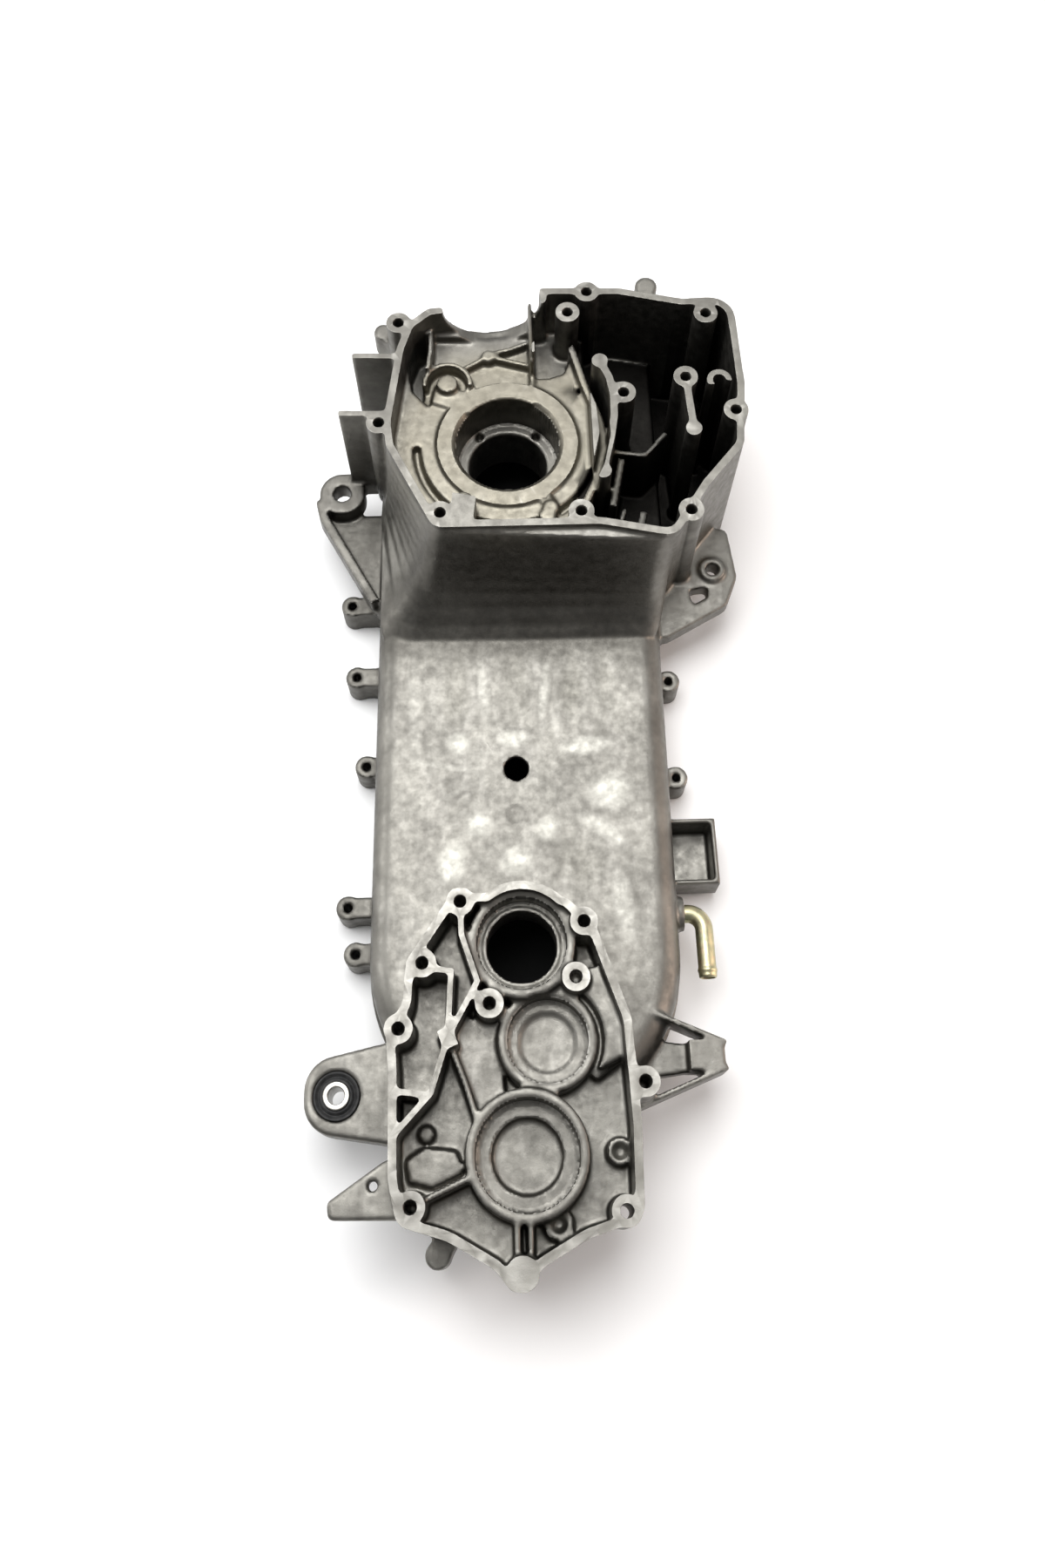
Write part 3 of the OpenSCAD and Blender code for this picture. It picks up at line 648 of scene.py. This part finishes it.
# The dark tints on the two walls and on steep faces are painted shade, the mounds' tints are
# painted sheen and shade, the edge tint is partly wear and partly painted highlight, and the
# sump's near black is partly oil stain and partly painted shade.
for tint, value, low, high, most in (
        (0x7E7C76, blotch, 0, 1, 1), (0x5C5A55, cloud, 0, 1, 0.2),
        (0x97958F, streak, 0, 1, 0.35), (0x403E3A, stored["shade"], 0, 1, 0.6),
        (0x4E4C47, slope_for_shade, 0.6, 0, 0.4), (0xB3B2AA, stored["relief_sheen_and_shade"], 0.1, 0.6, 0.55),
        (0x68665F, stored["relief_sheen_and_shade"], -0.1, -0.7, 0.35), (0x878170, stored["warm"], 0, 1, 0.45),
        (0xB4B2AC, stored["wear_and_highlight"], 0, 1, 0.5), (0x100F0E, stored["oil_and_shade"], 0, 1, 0.97)):
    colour = tinted(tree, colour, tint, value, low, high, most)
tree.links.new(colour, shader.inputs["Base Color"])

# %% The as-cast grain
dull = spots(tree, where, 5 * MM, 0.3, 0.7, detail=4, least=0.36, most=0.56)
tree.links.new(dull, shader.inputs["Roughness"])
waves = add(tree, "TexNoise", {"Vector": where, "Scale": 1 / (11 * MM)})
sand = add(tree, "TexNoise", {"Vector": where, "Scale": 1 / (0.8 * MM), "Roughness": 0.6})
rolling = add(tree, "Bump", {"Height": waves.outputs["Fac"], "Strength": 0.5,
                             "Distance": 0.5 * MM})
grain = add(tree, "Bump", {"Height": sand.outputs["Fac"], "Strength": 0.35,
                           "Distance": 0.12 * MM, "Normal": rolling.outputs["Normal"]})
tree.links.new(grain.outputs["Normal"], shader.inputs["Normal"])
thinned.materials.clear()
thinned.materials.append(as_cast)
print("as-cast finish:", len(tree.nodes), "nodes")

# %% [markdown]
# ## Milled and bored aluminium
#
# A face mill leaves flat, lighter metal with faint curved lines where its teeth passed. The
# lines are rings about a point far outside the part. A boring bar leaves the same bright
# metal in the bearing seats, with rings one above another. Real tool marks are under 2 mm
# apart. They are drawn 6 to 8 mm apart here, because finer ones would vanish in the picture.
# The waves of this texture are tau / 20 of its unit of length apart, hence the scale.

# %% The cut finishes
milled_face, tree, shader, where = new_finish("milled_aluminium", metallic=1.0, roughness=0.42)
haze = spots(tree, where, 14 * MM, 0.35, 0.65)
tree.links.new(tinted(tree, linear(0x82807B), 0x979590, haze), shader.inputs["Base Color"])
far = add(tree, "Mapping", {"Vector": where, "Location": (0.16, 0.35, 0.0)}).outputs[0]
lines = add(tree, "TexWave", {"Vector": far, "Scale": math.tau / (20 * 7.54 * MM),
                              "Distortion": 0.6, "Detail": 2.0},
            wave_type="RINGS", rings_direction="Z")
cuts = add(tree, "Bump", {"Height": lines.outputs["Fac"], "Strength": 0.25,
                          "Distance": 0.03 * MM})
tree.links.new(cuts.outputs["Normal"], shader.inputs["Normal"])
thinned.materials.append(milled_face)

bored_seat, tree, shader, where = new_finish("bored_aluminium", metallic=1.0, roughness=0.3)
haze = spots(tree, where, 9 * MM, 0.35, 0.65)
tree.links.new(tinted(tree, linear(0x857E6D), 0x9E9886, haze), shader.inputs["Base Color"])
rings = add(tree, "TexWave", {"Vector": where, "Scale": math.tau / (20 * 6.283 * MM),
                              "Distortion": 0.3, "Detail": 1.0},
            wave_type="BANDS", bands_direction="Z")
cuts = add(tree, "Bump", {"Height": rings.outputs["Fac"], "Strength": 0.2,
                          "Distance": 0.03 * MM})
tree.links.new(cuts.outputs["Normal"], shader.inputs["Normal"])
thinned.materials.append(bored_seat)
print("finishes:", [m.name for m in thinned.materials])

# %% [markdown]
# ## The bush in the shock absorber's ear
#
# The rear shock absorber bolts to an ear through a rubber ring with a steel sleeve in it.
# Both are turned shapes. A profile of radius and height is carried round the bush's axis,
# and the rubber's face is drawn in between its two lips as moulded rubber is.

# %% A profile carried round an axis


def turned_ring(name, profile, middle):
    """A closed profile (radius, height) in metres, carried round an upright axis at middle."""
    points, faces = carried_round(profile, 96)
    mesh = bpy.data.meshes.new(name)
    mesh.from_pydata((points + middle).tolist(), [], faces)
    mesh.polygons.foreach_set("use_smooth", np.ones(len(mesh.polygons), bool))
    made = piece(name, mesh)
    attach(made, "root")
    print(name, len(mesh.polygons), "faces")
    return made


def round_off(corners, r, steps=5):
    """Corners (radius, height) of a closed profile, each one rounded by a curve of size r."""
    corners = np.array(corners, float)
    before, after = np.roll(corners, 1, axis=0), np.roll(corners, -1, axis=0)
    inward = (before - corners) / np.linalg.norm(before - corners, axis=1)[:, None]
    onward = (after - corners) / np.linalg.norm(after - corners, axis=1)[:, None]
    t = np.linspace(0, 1, steps)[None, :, None]
    curve = (corners[:, None] + inward[:, None] * r * (1 - t) ** 2 + onward[:, None] * r * t ** 2)
    return curve.reshape(-1, 2).tolist()


# %% The rubber ring and its sleeve
bush_low, bush_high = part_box("bush_rubber")
sleeve_low, sleeve_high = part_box("bush_sleeve")
bush_middle = np.array((bush_low + bush_high) / 2)
half_rubber = (bush_high - bush_low)[2] / 2
half_sleeve = (sleeve_high - sleeve_low)[2] / 2
outer = (bush_high - bush_low)[0] / 2
inner = (sleeve_high - sleeve_low)[0] / 2
hole = mounts["shock_bush"]["dims"]["r_mm"] * MM
between = (inner + outer) / 2
waist, inner_lip, outer_lip = 1.6 * MM, inner + 1.2 * MM, outer - 1 * MM
rubber_corners = [(inner, -half_rubber), (inner_lip, -half_rubber),
                  (between, waist - half_rubber), (outer_lip, -half_rubber),
                  (outer, -half_rubber), (outer, half_rubber), (outer_lip, half_rubber),
                  (between, half_rubber - waist), (inner_lip, half_rubber),
                  (inner, half_rubber)]
sleeve_corners = [(hole, -half_sleeve), (inner, -half_sleeve), (inner, half_sleeve),
                  (hole, half_sleeve)]
rubber = turned_ring("rubber_ring", round_off(rubber_corners, 0.45 * MM), bush_middle)
sleeve = turned_ring("steel_sleeve", round_off(sleeve_corners, 0.6 * MM), bush_middle)
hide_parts("bush_rubber")
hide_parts("bush_sleeve")

# %% [markdown]
# ## The breather elbow
#
# A bent tube, plated in pale yellow zinc, stands out of the right side and turns towards
# the rear. Its middle line is a straight run, a quarter circle and a second straight run.
# A circle is carried along that line, outside on the way out and inside on the way back,
# so that the tube has a wall. A low bead near the end keeps a hose from sliding off.

# %% The elbow's middle line
elbow_low, elbow_high = (np.array(corner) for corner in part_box("breather_elbow"))
tube_r = (elbow_high - elbow_low)[2] / 2
bend_r = 9 * MM
start = np.array([elbow_low[0], elbow_high[1] - tube_r, (elbow_low[2] + elbow_high[2]) / 2])
run = elbow_high[0] - tube_r - bend_r - start[0]
leg = start[1] - bend_r - elbow_low[1]
quarter = bend_r * math.pi / 2
travel = np.unique(np.concatenate([np.linspace(0, run, 8), run + np.linspace(0, quarter, 14),
                                   run + quarter + np.linspace(0, leg, 40)]))
turn = np.clip((travel - run) / bend_r, 0, math.pi / 2)
line = np.stack([start[0] + np.minimum(travel, run) + bend_r * np.sin(turn),
                 start[1] - bend_r * (1 - np.cos(turn)) - np.maximum(travel - run - quarter, 0),
                 np.full_like(travel, start[2])], axis=1)
across = np.stack([np.sin(turn), np.cos(turn), np.zeros_like(turn)], axis=1)
print("elbow:", round((run + quarter + leg) / MM, 1), "mm along its middle line")

# %% The elbow's radius along the line, and the circle carried along it
bore_r = 4 * MM
bead, bead_place, bead_width = 0.5 * MM, 4 * MM, 1.1 * MM
end_round, end_reach = 0.5 * MM, 0.8 * MM
around = 48
from_end = run + quarter + leg - travel
outside = tube_r - bead + bead * np.exp(-((from_end - bead_place) / bead_width) ** 2)
outside -= end_round * ramp(from_end, end_reach, 0)
# The first half of the straight run sits in the casting, where the tube has its full radius.
seated = tube_r - bead + bead * ramp(travel, 0.7 * run, 0.5 * run)
outside = np.where(travel < run, seated, outside)
radii = np.concatenate([outside, np.full(len(travel), bore_r)])
there_and_back = np.concatenate([line, line[::-1]])
sideways = np.concatenate([across, across[::-1]])
angle = np.arange(around) * math.tau / around
circle = (np.cos(angle)[None, :, None] * sideways[:, None]
          + np.sin(angle)[None, :, None] * np.array([0, 0, 1.0]))
grid = there_and_back[:, None] + radii[:, None, None] * circle
tube = bpy.data.meshes.new("plated_elbow")
tube.from_pydata(grid.reshape(-1, 3).tolist(), [], closed_grid(len(radii), around))
check = bmesh.new()
check.from_mesh(tube)
bmesh.ops.recalc_face_normals(check, faces=check.faces)
print("elbow volume", round(check.calc_volume(signed=True) / MM ** 3), "mm3")
check.to_mesh(tube)
check.free()
tube.polygons.foreach_set("use_smooth", np.ones(len(tube.polygons), bool))
elbow = piece("plated_elbow", tube)
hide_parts("breather_elbow")
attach(elbow, "root")

# %% [markdown]
# ## Rubber, turned steel and zinc plate
#
# Moulded rubber is nearly black and scatters what light it gets. Turned steel is a bright
# metal with rings from the tool, drawn 5 mm apart here so that they show. Yellow zinc plate
# is a metal whose thin coat shifts between straw, green and pink from place to place.

# %% Moulded rubber
moulded, tree, shader, where = new_finish("moulded_rubber", metallic=0.0, roughness=0.7)
dust = spots(tree, where, 3 * MM, 0.4, 0.75, detail=4)
tree.links.new(tinted(tree, linear(0x19191A), 0x343433, dust), shader.inputs["Base Color"])
pitted = add(tree, "TexNoise", {"Vector": where, "Scale": 1 / (0.6 * MM)})
pores = add(tree, "Bump", {"Height": pitted.outputs["Fac"], "Strength": 0.3,
                           "Distance": 0.1 * MM})
tree.links.new(pores.outputs["Normal"], shader.inputs["Normal"])
rubber.data.materials.append(moulded)

# %% Turned steel
turned_steel, tree, shader, where = new_finish("turned_steel", metallic=1.0, roughness=0.3)
stain = spots(tree, where, 4 * MM, 0.4, 0.7)
tree.links.new(tinted(tree, linear(0xB4B2AD), 0x8A867F, stain), shader.inputs["Base Color"])
rings = add(tree, "TexWave", {"Vector": where, "Scale": math.tau / (20 * 5.027 * MM)},
            wave_type="BANDS", bands_direction="Z")
cuts = add(tree, "Bump", {"Height": rings.outputs["Fac"], "Strength": 0.3,
                          "Distance": 0.03 * MM})
tree.links.new(cuts.outputs["Normal"], shader.inputs["Normal"])
sleeve.data.materials.append(turned_steel)

# %% Yellow zinc plate
zinc, tree, shader, where = new_finish("yellow_zinc_plate", metallic=1.0, roughness=0.34)
shift = spots(tree, where, 8 * MM, 0.38, 0.62, detail=2, rough=0.5, distort=0.5)
colour = tinted(tree, linear(0xB9B290), 0x9C9C80, shift)
pink = spots(tree, where, 5 * MM, 0.55, 0.75, detail=2, rough=0.5, distort=1.0, most=0.5)
tree.links.new(tinted(tree, colour, 0xC4A38F, pink), shader.inputs["Base Color"])
scuffs = spots(tree, where, 2 * MM, 0.3, 0.7, detail=4, rough=0.7, least=0.26, most=0.5)
tree.links.new(scuffs, shader.inputs["Roughness"])
elbow.data.materials.append(zinc)
print("pressed-in parts:", [thing.name for thing in (rubber, sleeve, elbow)])

# %% [markdown]
# ## Floor, light and camera
#
# The housing lies on a plain pale floor. Metal shows what it reflects, so the light is
# what shapes it: one large soft panel overhead and towards the front end gives the broad
# sheen, a low one at the left draws the rims, and a narrow one at the right, a little pink,
# warms that edge. The sky is brighter towards the front end than towards the rear, which
# keeps the back of the case from turning into one even grey.

# %% Floor
floor_half = 4.0
floor_z = ground - 0.2 * MM  # a hair below the housing, so that no two faces share a plane
floor_mesh = bpy.data.meshes.new("floor")
floor_mesh.from_pydata([(a * floor_half, b * floor_half, floor_z)
                        for a, b in ((-1, -1), (1, -1), (1, 1), (-1, 1))], [], [(0, 1, 2, 3)])
floor = piece("floor", floor_mesh)
paper, tree, shader, where = new_finish("pale_floor", metallic=0.0, roughness=0.9)
tone = spots(tree, where, 300 * MM, 0.3, 0.7, detail=2, rough=0.5)
tree.links.new(tinted(tree, linear(0xF6F6F6), 0xFAFAFA, tone), shader.inputs["Base Color"])
floor_mesh.materials.append(paper)
floor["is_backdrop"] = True
print("floor:", 2 * floor_half, "m wide")

# %% [markdown]
# The housing is open below, and through its shaft holes a pale floor would shine. In the
# photo those holes are dark, so a black card lies inside the case, out of sight elsewhere.

# %% A black card inside the case, as painted shade
# The card stands in for the dark inside of a closed case: it is painted shade.
card_outline = [(-60, -325), (65, -325), (65, 35), (40, 60), (-30, 60), (-60, 35)]
card_mesh = bpy.data.meshes.new("shade_card")
card_mesh.from_pydata([(a * MM, b * MM, ground + 2 * MM) for a, b in card_outline], [],
                      [tuple(range(len(card_outline)))])
card = piece("shade_card", card_mesh)
card_paint, tree, shader, where = new_finish("shade_card", metallic=0.0, roughness=1.0)
shader.inputs["Base Color"].default_value = linear(0x0C0C0C)
card_mesh.materials.append(card_paint)
card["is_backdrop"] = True

# %% Lights


def panel(name, place, target, width, height, watts, colour=0xFFFFFF):
    """A soft rectangular light at place that faces target."""
    light = bpy.data.lights.new(name, "AREA")
    light.shape = "RECTANGLE"
    light.size, light.size_y, light.energy = width, height, watts
    light.color = linear(colour)[:3]
    lamp = bpy.data.objects.new(name, light)
    way = np.array(target) - np.array(place)
    flat = math.hypot(way[0], way[1])
    lamp.rotation_euler = (math.atan2(flat, -way[2]), 0, math.atan2(-way[0], way[1]))
    lamp.location = place
    bpy.context.scene.collection.objects.link(lamp)


middle = (0.0, -0.16, 0.0)
panel("overhead", (-0.15, 0.25, 1.5), middle, 1.3, 1.1, 26)
panel("left_window", (-1.5, 0.2, 0.7), middle, 1.0, 0.9, 10)
panel("right_fill", (1.4, -0.3, 0.5), middle, 0.5, 1.4, 9, 0xFFE4D4)

# %% Sky
world = bpy.data.worlds.new("studio")
world.use_nodes = True
tree = world.node_tree
toward = add(tree, "SeparateXYZ", {0: add(tree, "TexCoord").outputs["Generated"]})
bright = add(tree, "MapRange", {"Value": toward.outputs["Y"], "From Min": -0.55,
                                "From Max": 0.45, "To Min": 0.3, "To Max": 0.72})
tree.links.new(bright.outputs["Result"], tree.nodes["Background"].inputs["Strength"])
tree.nodes["Background"].inputs["Color"].default_value = linear(0xFFFFFF)
bpy.context.scene.world = world
bpy.context.scene.view_settings.view_transform = "Standard"

# %% Camera
# It looks down from the rear, 27.5 degrees off the vertical. Shifting the lens moves the
# frame over the part without turning the camera.
camera = bpy.data.objects.new("camera", bpy.data.cameras.new("camera"))
bpy.context.scene.collection.objects.link(camera)
camera.location = (-0.0053, -0.4393, ground + 0.852)
camera.rotation_euler = (math.radians(27.5), 0, math.radians(-1.66))
camera.data.sensor_fit = "VERTICAL"
camera.data.sensor_height = 36
camera.data.lens = 33
camera.data.shift_x = 0.0017
camera.data.shift_y = -0.1716
bpy.context.scene.camera = camera
print("camera:", camera.data.lens, "mm lens")

# %% [markdown]
# ## The size
#
# Both boxes, the CAD model's and the one of what is shown, are printed.

# %% Boxes
shown_box = [list(corner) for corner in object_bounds()]
for name, box in (("cad", cad_box), ("shown", shown_box)):
    print(name, [[round(float(c) / MM, 1) for c in corner] for corner in box])
